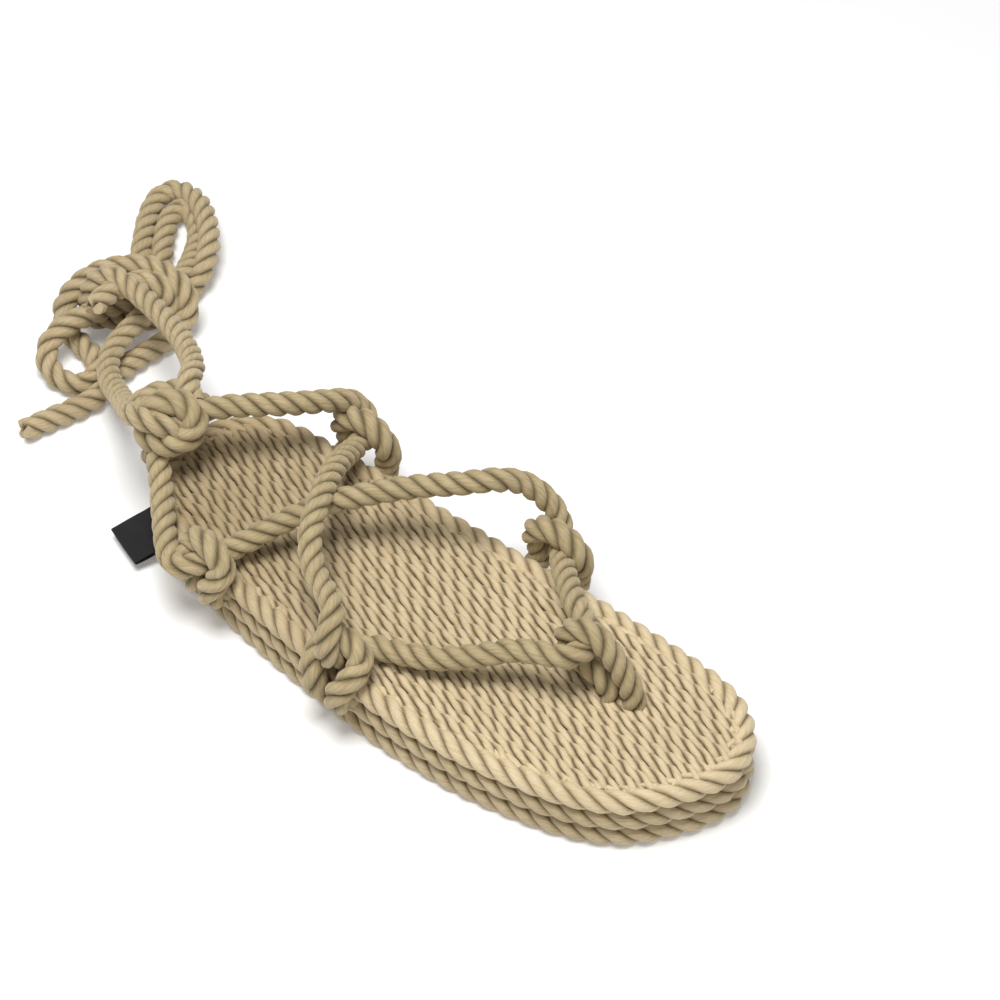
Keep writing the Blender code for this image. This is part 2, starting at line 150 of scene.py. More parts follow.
# %% [markdown]
# ## Sizes
#
# The rope of the solids is 8.6 mm thick. The lacing, the ties and most loops are drawn a little
# thicker, so that they look as thick as in the photograph. One lay is the length in which a
# strand goes once round the rope: short in the tight lacing, longer in the sole.

# %% Sizes
ROPE = 0.0086
ROPE_RADIUS = ROPE / 2
LACE = 0.0092
LOOP_ROPE = 0.0100
LAY = 0.0202
SOLE_LAY = 0.0245
GAP = 0.0003
LAYER_COUNT = 3
SOLE_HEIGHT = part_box("sole_top_layer")[1].z
SOLE_LENGTH = 0.255
BALL_WIDTH = 0.090
HEEL_END_Y = -0.1305
SOLE_THICKNESS = 0.0255
LAYER = SOLE_THICKNESS / LAYER_COUNT
BORDER = LAYER - GAP
ROW_PITCH = 0.0043
SEAM_HIGH = 2 * LAYER
print("sole height in mm:", round(1000 * SOLE_HEIGHT, 1))

# %% [markdown]
# ## Smooth routes
#
# A rope's route is a short list of given points. A Catmull-Rom curve goes through
# every one of them, and its points are then spaced evenly, so that the strands turn evenly
# too.

# %% Smooth routes
SPLINE_PARTS = 24


def spline_point(points, index, share, closed):
    """One place on the Catmull-Rom curve through the points."""
    count = len(points)

    def at(place):
        return points[place % count] if closed else points[min(max(place, 0), count - 1)]

    a, b, c, d = (at(index + shift) for shift in (-1, 0, 1, 2))
    square, cube = share * share, share * share * share
    return 0.5 * (2 * b + (c - a) * share + (2 * a - 5 * b + 4 * c - d) * square
                  + (3 * b - a - 3 * c + d) * cube)


def smooth(points, step, closed=False):
    """Points at an even spacing on the smooth curve through the route's own points."""
    points = [Vector(point) for point in points]
    spans = len(points) if closed else len(points) - 1
    dense = [spline_point(points, index, part / SPLINE_PARTS, closed)
             for index in range(spans) for part in range(SPLINE_PARTS)]
    dense.append(points[0].copy() if closed else points[-1].copy())
    reach = [0.0]
    for first, second in zip(dense, dense[1:]):
        reach.append(reach[-1] + (second - first).length)
    pieces = max(2, round(reach[-1] / step))
    wanted = [reach[-1] * number / pieces for number in range(pieces + (0 if closed else 1))]
    result, place = [], 0
    for distance in wanted:
        while place < len(reach) - 2 and reach[place + 1] < distance:
            place += 1
        span = reach[place + 1] - reach[place]
        share = 0.0 if span == 0 else (distance - reach[place]) / span
        result.append(dense[place].lerp(dense[place + 1], share))
    return result


def route_length(points):
    return sum((second - first).length for first, second in zip(points, points[1:]))


# %% [markdown]
# ## The outline of the last
#
# The sole's edge is the same table of shares as in the solids: how far along the foot, then
# the inner and the outer side. Each layer's border rope runs just inside this edge.

# %% The outline of the last
OUTLINE = (
    # along, medial, lateral
    (0.000, -0.083, -0.083),
    (0.012, -0.252, 0.086),
    (0.039, -0.372, 0.206),
    (0.080, -0.454, 0.288),
    (0.131, -0.483, 0.322),
    (0.218, -0.487, 0.378),
    (0.316, -0.487, 0.431),
    (0.433, -0.487, 0.478),
    (0.551, -0.487, 0.511),
    (0.669, -0.487, 0.507),
    (0.767, -0.481, 0.467),
    (0.845, -0.470, 0.411),
    (0.912, -0.439, 0.311),
    (0.957, -0.367, 0.161),
    (0.986, -0.267, 0.022),
    (1.000, -0.122, -0.122),
)
OUTLINE_STEP = 0.004


def outline_points():
    """The sole's true outline as a closed run of points, heel end first, inner side up to the toe."""
    rows = [(HEEL_END_Y + along * SOLE_LENGTH, medial * BALL_WIDTH, lateral * BALL_WIDTH)
            for along, medial, lateral in OUTLINE]
    inner = [(medial, y, 0.0) for y, medial, lateral in rows]
    outer = [(lateral, y, 0.0) for y, medial, lateral in reversed(rows[1:-1])]
    return smooth(inner + outer, OUTLINE_STEP, closed=True)


def inset(points, distance):
    """The closed run moved towards its inside."""
    count = len(points)
    moved = []
    for index, point in enumerate(points):
        along = (points[(index + 1) % count] - points[index - 1]).normalized()
        moved.append(point + Vector((along.y, -along.x, 0.0)) * distance)
    return moved


def edge_x(y, side):
    """Where the sole's outer face lies at this y, on one side of the foot."""
    share = (y - HEEL_END_Y) / SOLE_LENGTH
    column = 1 if side < 0 else 2
    for low, high in zip(OUTLINE, OUTLINE[1:]):
        if low[0] <= share <= high[0]:
            part = (share - low[0]) / (high[0] - low[0])
            return BALL_WIDTH * (low[column] + part * (high[column] - low[column]))
    return 0.0


RING = outline_points()
print("outline points:", len(RING))

# %% [markdown]
# ## A tree that lays rope
#
# Real rope is three strands that turn round a common line. The tree takes bare lines, walks
# along them in even steps, and moves each point sideways by a turning amount, once for each
# strand. It also notes three things for the material: how far along the rope a point is,
# where it is around its strand, and how far it stands out from the rope's middle. The last
# one is what the material uses to paint shade into the grooves.

# %% Helpers for node trees


def add(tree, kind, links=(), **settings):
    """A node with its settings, and its inputs given as values or as other nodes' outputs."""
    made = tree.nodes.new(kind)
    for name, value in settings.items():
        setattr(made, name, value)
    for socket, value in dict(links).items():
        if isinstance(value, bpy.types.NodeSocket):
            tree.links.new(value, made.inputs[socket])
        else:
            made.inputs[socket].default_value = value
    return made


def math_node(tree, operation, first, second=0.0):
    return add(tree, "ShaderNodeMath", {0: first, 1: second}, operation=operation).outputs[0]


def vector_node(tree, operation, first, second=(0.0, 0.0, 0.0)):
    return add(tree, "ShaderNodeVectorMath", {0: first, 1: second}, operation=operation).outputs[0]


def scaled(tree, vector, factor):
    return add(tree, "ShaderNodeVectorMath", {0: vector, "Scale": factor}, operation="SCALE").outputs[0]


def stored(tree, geometry, name, value, kind="FLOAT"):
    """The geometry with a named value on each of its points."""
    made = add(tree, "GeometryNodeStoreNamedAttribute", {"Geometry": geometry, "Name": name},
               data_type=kind, domain="POINT")
    tree.links.new(value, made.inputs["Value"])
    return made.outputs[0]


def named(tree, name, kind="FLOAT"):
    """A value that was stored on the points before."""
    return add(tree, "GeometryNodeInputNamedAttribute", {"Name": name}, data_type=kind).outputs[0]


# %% The rope tree
STRANDS = 3
STRAND_SIDES = 12
STRAND_STEP = 0.0014
STRAND_SHARE = 0.50
UNEVENNESS = 0.00016
LUMP_SCALE = 260.0
LUMP_GAIN = 4.0
END_ROUND = 0.0030


def rope_tree():
    """A Geometry Nodes tree that turns bare lines into three-strand laid rope."""
    tree = bpy.data.node_groups.new("Three-strand rope", "GeometryNodeTree")
    for name, kind, value in (("Lines", "Geometry", None), ("Rope Diameter", "Float", ROPE),
                              ("Lay Length", "Float", LAY), ("Strand Share", "Float", STRAND_SHARE),
                              ("Step", "Float", STRAND_STEP), ("Unevenness", "Float", UNEVENNESS),
                              ("Strand Sides", "Int", STRAND_SIDES), ("Finish", "Material", None)):
        socket = tree.interface.new_socket(name, in_out="INPUT", socket_type="NodeSocket" + kind)
        if value is not None:
            socket.default_value = value
    tree.interface.new_socket("Rope", in_out="OUTPUT", socket_type="NodeSocketGeometry")
    given = tree.nodes.new("NodeGroupInput").outputs

    radius = math_node(tree, "MULTIPLY", given["Rope Diameter"], 0.5)
    strand_radius = math_node(tree, "MULTIPLY", radius, given["Strand Share"])
    offset = math_node(tree, "SUBTRACT", radius, strand_radius)
    walked = add(tree, "GeometryNodeResampleCurve", {"Curve": given["Lines"], "Length": given["Step"]},
                 mode="LENGTH").outputs[0]
    position = tree.nodes.new("GeometryNodeInputPosition").outputs[0]
    along = tree.nodes.new("GeometryNodeSplineParameter").outputs["Length"]
    line_number = tree.nodes.new("GeometryNodeCurveOfPoint").outputs["Curve Index"]
    noted = stored(tree, walked, "core", position, "FLOAT_VECTOR")
    noted = stored(tree, noted, "along", along)

    normal = tree.nodes.new("GeometryNodeInputNormal").outputs[0]
    tangent = tree.nodes.new("GeometryNodeInputTangent").outputs[0]
    side = vector_node(tree, "CROSS_PRODUCT", tangent, normal)
    total = tree.nodes.new("GeometryNodeSplineLength").outputs["Length"]
    from_end = math_node(tree, "MINIMUM", along, math_node(tree, "SUBTRACT", total, along))
    looped = tree.nodes.new("GeometryNodeInputSplineCyclic").outputs[0]
    from_end = math_node(tree, "ADD", from_end, looped)
    share_in = math_node(tree, "MINIMUM", math_node(tree, "DIVIDE", from_end, END_ROUND), 1.0)
    fullness = math_node(tree, "POWER", share_in, 0.5)
    noted = stored(tree, noted, "cut", math_node(tree, "SUBTRACT", 1.0, fullness))
    noted = add(tree, "GeometryNodeSetCurveRadius", {"Curve": noted, "Radius": fullness}).outputs[0]
    turn = math_node(tree, "MULTIPLY", math_node(tree, "DIVIDE", along, given["Lay Length"]), 2 * math.pi)

    circle = add(tree, "GeometryNodeCurvePrimitiveCircle", {"Resolution": given["Strand Sides"],
                                                            "Radius": strand_radius}).outputs[0]
    around = scaled(tree, position, math_node(tree, "DIVIDE", 1.0, strand_radius))
    circle = stored(tree, circle, "around", around, "FLOAT_VECTOR")

    joined = tree.nodes.new("GeometryNodeJoinGeometry")
    for number in range(STRANDS):
        angle = math_node(tree, "ADD", turn, number * 2 * math.pi / STRANDS)
        out = scaled(tree, normal, math_node(tree, "COSINE", angle))
        across = scaled(tree, side, math_node(tree, "SINE", angle))
        push = scaled(tree, vector_node(tree, "ADD", out, across), offset)
        own = math_node(tree, "ADD", math_node(tree, "MULTIPLY", line_number, STRANDS), number)
        strand = stored(tree, noted, "strand", own)
        strand = add(tree, "GeometryNodeSetPosition", {"Geometry": strand, "Offset": push}).outputs[0]
        body = add(tree, "GeometryNodeCurveToMesh", {"Curve": strand, "Profile Curve": circle,
                                                     "Fill Caps": True}).outputs[0]
        tree.links.new(body, joined.inputs[0])

    core = named(tree, "core", "FLOAT_VECTOR")
    distance = add(tree, "ShaderNodeVectorMath", {0: position, 1: core},
                   operation="DISTANCE").outputs["Value"]
    height = math_node(tree, "MAXIMUM", math_node(tree, "DIVIDE", distance, radius), named(tree, "cut"))
    lumps = add(tree, "ShaderNodeTexNoise", {"Scale": LUMP_SCALE, "Detail": 1.0, "Vector": position})
    wobble = vector_node(tree, "SUBTRACT", lumps.outputs["Color"], (0.5, 0.5, 0.5))
    rough = add(tree, "GeometryNodeSetPosition",
                {"Geometry": stored(tree, joined.outputs[0], "height", height),
                 "Offset": scaled(tree, wobble, math_node(tree, "MULTIPLY", given["Unevenness"],
                                                          LUMP_GAIN))})
    smoothed = add(tree, "GeometryNodeSetShadeSmooth", {"Geometry": rough.outputs[0], "Shade Smooth": True})
    real = add(tree, "GeometryNodeRealizeInstances", {"Geometry": smoothed.outputs[0]})
    finish = add(tree, "GeometryNodeSetMaterial", {"Geometry": real.outputs[0], "Material": given["Finish"]})
    result = tree.nodes.new("NodeGroupOutput")
    tree.links.new(finish.outputs[0], result.inputs[0])
    return tree


ROPE_TREE = rope_tree()
print("rope tree:", len(ROPE_TREE.nodes), "nodes")

# %% [markdown]
# ## The fibre
#
# Seen close, a strand is a bunch of fine fibres that run almost straight along it. A noise
# stretched along the strand gives them, and it is read round the strand as a circle, so it
# has no seam. The group also paints light and shade: each strand is lighter on its crown and
# dark down in the grooves, and it can paint shade that darkens the sole towards the heel. The
# same group serves every rope, with its own soil, its own painted heel shade and its own colours.

# %% The fibre group
FIBRE_SCALE = 9.0
YARN_SCALE = 3.2
CLOUD_SCALE = 38.0
FLUFF_SCALE = 1500.0
FIBRE_BUMP = 0.5
FIBRE_DEPTH = 0.00025
# Painted groove shade fades out at this share of the rope's radius.
GROOVE_SHADE_REACH = 0.86
# Painted heel shade: full at the first y, gone at the second, and multiplied in with this tint.
HEEL_SHADE_FULL_Y, HEEL_SHADE_END_Y = -0.13, 0.05
HEEL_SHADE_TINT = (0.50, 0.45, 0.36, 1.0)
# Painted shade: the dark colour painted deep in the grooves between the lace and tie strands.
DEEP_GROOVE_SHADE = (0.045, 0.031, 0.011, 1.0)


def shader_group(name, inputs, outputs):
    """An empty shader node group with named sockets."""
    tree = bpy.data.node_groups.new(name, "ShaderNodeTree")
    for label, kind, value in inputs:
        socket = tree.interface.new_socket(label, in_out="INPUT", socket_type=kind)
        socket.default_value = value
    for label, kind in outputs:
        tree.interface.new_socket(label, in_out="OUTPUT", socket_type=kind)
    return tree


def attribute(tree, name, socket="Fac"):
    return add(tree, "ShaderNodeAttribute", attribute_name=name, attribute_type="GEOMETRY").outputs[socket]


def mapped(tree, value, low, high, to_low=0.0, to_high=1.0):
    """The value's range taken to another one, without going past its ends."""
    return add(tree, "ShaderNodeMapRange", {0: value, 1: low, 2: high, 3: to_low, 4: to_high},
               interpolation_type="SMOOTHSTEP").outputs[0]


def mixed(tree, share, first, second, blend="MIX"):
    made = add(tree, "ShaderNodeMix", data_type="RGBA", blend_type=blend)
    for socket, value in ((0, share), (6, first), (7, second)):
        if isinstance(value, bpy.types.NodeSocket):
            tree.links.new(value, made.inputs[socket])
        else:
            made.inputs[socket].default_value = value
    return made.outputs[2]


def fibre_group():
    """Colour, roughness and height of a laid rope's strands."""
    tree = shader_group("Rope fibre", (
        ("Light", "NodeSocketColor", (0.74, 0.62, 0.41, 1.0)),
        ("Middle", "NodeSocketColor", (0.56, 0.44, 0.26, 1.0)),
        # Groove: the colour of the painted groove shade; it also darkens some yarns and is the soil's
        # colour.
        ("Groove", "NodeSocketColor", (0.12, 0.08, 0.03, 1.0)),
        ("Soil", "NodeSocketFloat", 0.0),
        ("Painted Heel Shade", "NodeSocketFloat", 0.0),
        ("Groove Shade Reach", "NodeSocketFloat", GROOVE_SHADE_REACH),
        ("Twist", "NodeSocketFloat", 330.0),
    ), (("Colour", "NodeSocketColor"), ("Roughness", "NodeSocketFloat"), ("Height", "NodeSocketFloat")))
    given = tree.nodes.new("NodeGroupInput").outputs
    along, strand = attribute(tree, "along"), attribute(tree, "strand")
    around = attribute(tree, "around", "Vector")
    height = attribute(tree, "height")

    twist = math_node(tree, "MULTIPLY", along, given["Twist"])
    turned = add(tree, "ShaderNodeVectorRotate",
                 {"Vector": around, "Axis": (0.0, 0.0, 1.0), "Angle": twist},
                 rotation_type="AXIS_ANGLE").outputs[0]
    slide = add(tree, "ShaderNodeCombineXYZ", {"X": math_node(tree, "MULTIPLY", strand, 7.3),
                                               "Y": math_node(tree, "MULTIPLY", strand, 3.1),
                                               "Z": math_node(tree, "MULTIPLY", along, 70.0)}).outputs[0]
    place = vector_node(tree, "ADD", turned, slide)
    fine = add(tree, "ShaderNodeTexNoise", {"Vector": place, "Scale": FIBRE_SCALE, "Detail": 3.0,
                                            "Roughness": 0.6}).outputs[0]
    yarn = add(tree, "ShaderNodeTexNoise", {"Vector": place, "Scale": YARN_SCALE, "Detail": 1.0}).outputs[0]
    spot = tree.nodes.new("ShaderNodeTexCoord").outputs["Object"]
    cloud = add(tree, "ShaderNodeTexNoise", {"Vector": spot, "Scale": CLOUD_SCALE, "Detail": 2.0}).outputs[0]
    fluff = add(tree, "ShaderNodeTexNoise", {"Vector": spot, "Scale": FLUFF_SCALE, "Detail": 2.0}).outputs[0]

    # Painted light and shade: each strand is lighter on its crown and darker down its sides.
    painted_crown_light = mapped(tree, height, 0.74, 1.0)
    tone = mixed(tree, painted_crown_light, given["Middle"], given["Light"])
    tone = mixed(tree, mapped(tree, fine, 0.35, 0.62, 0.42, 0.0), tone, given["Middle"])
    tone = mixed(tree, mapped(tree, yarn, 0.35, 0.55, 0.35, 0.0), tone, given["Groove"], "SOFT_LIGHT")
    tone = mixed(tree, mapped(tree, cloud, 0.35, 0.70, 0.0, 0.30), tone, given["Middle"])
    # Painted shade: down between the strands the colour goes to the groove colour.
    tone = mixed(tree, mapped(tree, height, 0.48, given["Groove Shade Reach"], 1.0, 0.0), tone, given["Groove"])
    soil = math_node(tree, "MULTIPLY", given["Soil"], mapped(tree, cloud, 0.3, 0.6, 0.4, 1.0))
    tone = mixed(tree, soil, tone, given["Groove"])

    # Painted shade: the rope grows darker towards the heel, where the knot and the straps shade it.
    toe_ward = add(tree, "ShaderNodeSeparateXYZ", {0: spot}).outputs["Y"]
    heel_shade_mask = mapped(tree, toe_ward, HEEL_SHADE_FULL_Y, HEEL_SHADE_END_Y, 1.0, 0.0)
    heel_shade_mask = math_node(tree, "MULTIPLY", math_node(tree, "MULTIPLY", heel_shade_mask, given["Painted Heel Shade"]),
                     mapped(tree, cloud, 0.25, 0.7, 0.7, 1.0))
    tone = mixed(tree, heel_shade_mask, tone, mixed(tree, 1.0, tone, HEEL_SHADE_TINT, "MULTIPLY"))

    bump = math_node(tree, "ADD", math_node(tree, "MULTIPLY", fine, 0.7),
                     math_node(tree, "MULTIPLY", yarn, 0.9))
    bump = math_node(tree, "ADD", bump, math_node(tree, "MULTIPLY", fluff, 0.35))
    result = tree.nodes.new("NodeGroupOutput")
    tree.links.new(tone, result.inputs["Colour"])
    tree.links.new(mapped(tree, fine, 0.3, 0.7, 0.66, 0.84), result.inputs["Roughness"])
    tree.links.new(bump, result.inputs["Height"])
    return tree


FIBRE = fibre_group()


def new_material(name):
    """A material with nodes, and its shader node."""
    made = bpy.data.materials.new(name)
    made.use_nodes = True
    return made, made.node_tree.nodes["Principled BSDF"]


def plain_material(name, colour, roughness):
    made, shader = new_material(name)
    shader.inputs["Base Color"].default_value = colour
    shader.inputs["Roughness"].default_value = roughness
    return made


def rope_material(name, light, middle, groove, soil=0.0, heel_shade=0.0, reach=GROOVE_SHADE_REACH):
    """A finish for one kind of rope: the shared fibre with its own colours."""
    made, shader = new_material(name)
    tree = made.node_tree
    fibre = tree.nodes.new("ShaderNodeGroup")
    fibre.node_tree = FIBRE
    for label, value in (("Light", light), ("Middle", middle), ("Groove", groove), ("Soil", soil),
                         ("Painted Heel Shade", heel_shade), ("Groove Shade Reach", reach)):
        fibre.inputs[label].default_value = value
    relief = add(tree, "ShaderNodeBump", {"Strength": FIBRE_BUMP, "Distance": FIBRE_DEPTH,
                                          "Height": fibre.outputs["Height"]})
    tree.links.new(fibre.outputs["Colour"], shader.inputs["Base Color"])
    tree.links.new(fibre.outputs["Roughness"], shader.inputs["Roughness"])
    tree.links.new(relief.outputs[0], shader.inputs["Normal"])
    for label, value in (("Metallic", 0.0), ("Sheen Weight", 0.35), ("Sheen Roughness", 0.5),
                         ("Sheen Tint", (0.95, 0.88, 0.72, 1.0)), ("Specular IOR Level", 0.25)):
        shader.inputs[label].default_value = value
    return made


LACE_FINISH = rope_material("laced_rope", (0.51, 0.413, 0.243, 1.0), (0.32, 0.248, 0.126, 1.0),
                            DEEP_GROOVE_SHADE, reach=1.0)
TIE_FINISH = rope_material("tie_rope", (0.57, 0.46, 0.283, 1.0), (0.36, 0.28, 0.15, 1.0),
                           DEEP_GROOVE_SHADE, reach=1.0)
# The top layer's rope; its heel shade input paints shade towards the heel.
SOLE_FINISH = rope_material("sole_rope", (0.74, 0.615, 0.405, 1.0), (0.53, 0.42, 0.25, 1.0),
                            (0.07, 0.046, 0.018, 1.0), heel_shade=0.75, reach=0.92)
# A darker copy of the sole rope for the middle and bottom layers: painted shade on the side walls, with a
# little soil.
SHADED_SIDE_FINISH = rope_material("shaded_trodden_rope", (0.64, 0.525, 0.335, 1.0), (0.45, 0.355, 0.205, 1.0),
                             (0.07, 0.045, 0.015, 1.0), soil=0.12)
print("finishes:", LACE_FINISH.name, SOLE_FINISH.name, SHADED_SIDE_FINISH.name)

# %% [markdown]
# ## From lines to rope
#
# Each piece starts as a curve object that holds bare lines. The tree is put on it as a
# modifier, its inputs are set by their identifiers, and the result is taken as a plain mesh.
# A line's tilt sets where its strands start to turn, which lets neighbouring rows differ.

# %% From lines to rope


def inputs_of(tree):
    return {item.name: item.identifier for item in tree.interface.items_tree
            if item.item_type == "SOCKET" and item.in_out == "INPUT"}


def lay_rope(name, lines, finish, **sizes):
    """A mesh piece of rope along lines, each a list of points, whether it is closed, and its tilt."""
    data = bpy.data.curves.new(name + "_line", "CURVE")
    data.dimensions = "3D"
    for points, closed, tilt in lines:
        spline = data.splines.new("POLY")
        spline.points.add(len(points) - 1)
        for slot, point in zip(spline.points, points):
            slot.co = (point.x, point.y, point.z, 1.0)
            slot.tilt = tilt
        spline.use_cyclic_u = closed
    bare = new_object(name + "_line", data)
    work = bare.modifiers.new("rope", "NODES")
    work.node_group = ROPE_TREE
    known = inputs_of(ROPE_TREE)
    work[known["Finish"]] = finish
    for label, value in sizes.items():
        work[known[label.replace("_", " ").title()]] = value
    bpy.context.view_layer.update()
    graph = bpy.context.evaluated_depsgraph_get()
    mesh = bpy.data.meshes.new_from_object(bare.evaluated_get(graph))
    mesh.name = name
    bpy.data.objects.remove(bare, do_unlink=True)
    bpy.data.curves.remove(data)
    piece = new_object(name, mesh)
    mesh.calc_loop_triangles()
    print("%-20s %6d triangles" % (name, len(mesh.loop_triangles)))
    return piece


def place_on_body(piece, slot, *nodes):
    """The piece rides on the one body and stands for these solids, which it hides. The slot is not used."""
    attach(piece, BODY)
    if nodes:
        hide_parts(*nodes)
    return piece


def rope_piece(name, line, finish, slot, *nodes, **sizes):
    """One open length of rope along a line, placed on the body."""
    return place_on_body(lay_rope(name, [(line, False, 0.0)], finish, **sizes), slot, *nodes)


# %% [markdown]
# ## The two ties
#
# The knot behind the heel lets go of two long ties. They are lying in a loose bundle: two long
# bights reach back, a few turns go round them, one small ring and one free end stick out. Each
# tie is one free rope. The points by the knot are listed. Each of the others was picked in the
# photograph, as a place in the image and a height, and the camera turns the pick into a point.
# The turns are drawn tighter than a rope of this size would bend.

# %% The two ties
TIE_STEP = 0.0015
TIE_ONE_START = (
    (-0.0062, -0.1222, 0.0530),
    (-0.0137, -0.1276, 0.0535),
)
TIE_ONE_SEEN = (
    # column and row in the photograph, height above the floor
    (193, 367, 0.0495), (187, 349, 0.0435), (174, 329, 0.0380), (157, 311, 0.0345), (141, 296, 0.0320),
    (127, 284, 0.0310), (112, 276, 0.0300), (99, 279, 0.0260), (90, 292, 0.0190), (87, 308, 0.0100),
    (97, 318, 0.0046), (114, 318, 0.0044), (137, 319, 0.0044), (157, 318, 0.0055), (169, 311, 0.0095),
    (169, 296, 0.0160), (158, 284, 0.0210), (142, 281, 0.0225), (126, 285, 0.0250), (109, 293, 0.0285),
    (93, 307, 0.0300),
)
TIE_TWO_START = (
    (0.0022, -0.1185, 0.0465),
    (0.0066, -0.1212, 0.0500),
    (0.0094, -0.1252, 0.0515),
    (0.0100, -0.1312, 0.0515),
    (0.0078, -0.1368, 0.0478),
    (0.0030, -0.1425, 0.0420),
    (-0.0030, -0.1500, 0.0345),
)
TIE_TWO_SEEN = (
    # column and row in the photograph, height above the floor
    (120, 396, 0.0260), (111, 383, 0.0185), (108, 366, 0.0145), (114, 348, 0.0137), (129, 330, 0.0137),
    (143, 315, 0.0120), (149, 299, 0.0065), (145, 281, 0.0044), (141, 260, 0.0044), (144, 238, 0.0044),
    (149, 216, 0.0044), (158, 199, 0.0044), (172, 191, 0.0050), (187, 194, 0.0070), (200, 205, 0.0095),
    (207, 223, 0.0110), (209, 243, 0.0110), (205, 263, 0.0095), (197, 281, 0.0065), (184, 293, 0.0046),
    (170, 291, 0.0044), (162, 276, 0.0044), (162, 257, 0.0044), (164, 238, 0.0044), (169, 220, 0.0044),
    (179, 210, 0.0044), (190, 212, 0.0044), (197, 224, 0.0044), (198, 241, 0.0044), (192, 259, 0.0060),
    (182, 277, 0.0100), (165, 289, 0.0128), (143, 296, 0.0132), (120, 303, 0.0140), (98, 311, 0.0150),
    (76, 320, 0.0154), (57, 333, 0.0135), (47, 350, 0.0100), (50, 368, 0.0065), (64, 381, 0.0046),
    (83, 384, 0.0044), (97, 374, 0.0044), (95, 359, 0.0044), (82, 345, 0.0044), (69, 331, 0.0055),
    (63, 314, 0.0100), (69, 296, 0.0160), (83, 281, 0.0205), (102, 271, 0.0220), (124, 266, 0.0218),
    (146, 266, 0.0216), (167, 274, 0.0212), (182, 288, 0.0185), (188, 306, 0.0130), (183, 324, 0.0075),
    (170, 338, 0.0048), (155, 348, 0.0044), (138, 358, 0.0044), (121, 371, 0.0044), (107, 387, 0.0044),
    (91, 401, 0.0044), (70, 411, 0.0044), (46, 421, 0.0044), (24, 431, 0.0044),
)
TIE_ONE = TIE_ONE_START + tuple(seen_at(*pick) for pick in TIE_ONE_SEEN)
TIE_TWO = TIE_TWO_START + tuple(seen_at(*pick) for pick in TIE_TWO_SEEN)


def lay_tie(name, route, *nodes):
    """One free rope from the knot to its cut end."""
    line = smooth(route, TIE_STEP)
    piece = rope_piece(name, line, TIE_FINISH, "rope", *nodes, rope_diameter=LACE)


lay_tie("tie_one_rope", TIE_ONE, "tie_one", "tie_hank")
lay_tie("tie_two_rope", TIE_TWO, "tie_two", "tie_end", "tie_ring")

# %% [markdown]
# ## The knot behind the heel
#
# The knot is one more length of rope, wound round the place where the ties and the lacing
# meet. It goes back on the inner side, round behind, over the top, and down on the outer side.
# It is drawn thicker than the lacing, to fill the knot. Its middle part was picked in the
# photograph, with a depth instead of a height; its two ends are listed.

# %% The knot behind the heel
KNOT_ROPE = 0.0108
KNOT_MIDDLE = (0.0022, -0.1208, 0.0455)
KNOT_START = (
    (-0.0095, -0.1190, 0.0500),
    (-0.0096, -0.1245, 0.0501),
)
KNOT_SEEN = (
    # column and row in the photograph, how far in front of the knot's middle
    (172, 392, -0.0060), (152, 396, -0.0060), (140, 407, -0.0020), (147, 416, 0.0030), (158, 406, 0.0050),
    (174, 402, 0.0060), (189, 409, 0.0055), (196, 423, 0.0040),
)
KNOT_END = (
    (0.0019, -0.1144, 0.0460),
    (0.0060, -0.1175, 0.0436),
    (0.0088, -0.1225, 0.0425),
    (0.0095, -0.1270, 0.0430),
    (0.0085, -0.1305, 0.0440),
)
KNOT = KNOT_START + tuple(seen_near(KNOT_MIDDLE, *pick) for pick in KNOT_SEEN) + KNOT_END
rope_piece("knot_rope", smooth(KNOT, TIE_STEP), LACE_FINISH, "rope_light", "heel_knot",
           rope_diameter=KNOT_ROPE)

# %% [markdown]
# ## The lacing
#
# One rope makes the whole upper. From the knot it goes by the outer side, over the instep to
# the inner front loop and down to the toes, and from there by the outer front loop and the
# inner rear loop back to the knot.

# %% The lacing
ROUTE_STEP = 0.0025
STRAP_OUTER = (
    (0.0060, -0.1290, 0.0440),
    (0.0086, -0.1260, 0.0400),
    (0.0110, -0.1225, 0.0350),
    (0.0163, -0.1166, 0.0312),
    (0.0258, -0.1073, 0.0296),
    (0.0350, -0.0985, 0.0288),
    (0.0415, -0.0900, 0.0288),
    (0.0415, -0.0840, 0.0303),
    (0.0365, -0.0800, 0.0308),
    (0.0300, -0.0775, 0.0312),
    (0.0200, -0.0712, 0.0348),
    (0.0090, -0.0640, 0.0400),
    (-0.0030, -0.0540, 0.0458),
    (-0.0140, -0.0430, 0.0490),
    (-0.0240, -0.0300, 0.0530),
    (-0.0330, -0.0160, 0.0565),
    (-0.0410, -0.0070, 0.0575),
    (-0.0490, -0.0015, 0.0530),
    (-0.0530, 0.0045, 0.0475),
    (-0.0548, 0.0110, 0.0385),
    (-0.0505, 0.0160, 0.0318),
    (-0.0440, 0.0205, 0.0325),
    (-0.0335, 0.0305, 0.0375),
    (-0.0220, 0.0435, 0.0425),
)
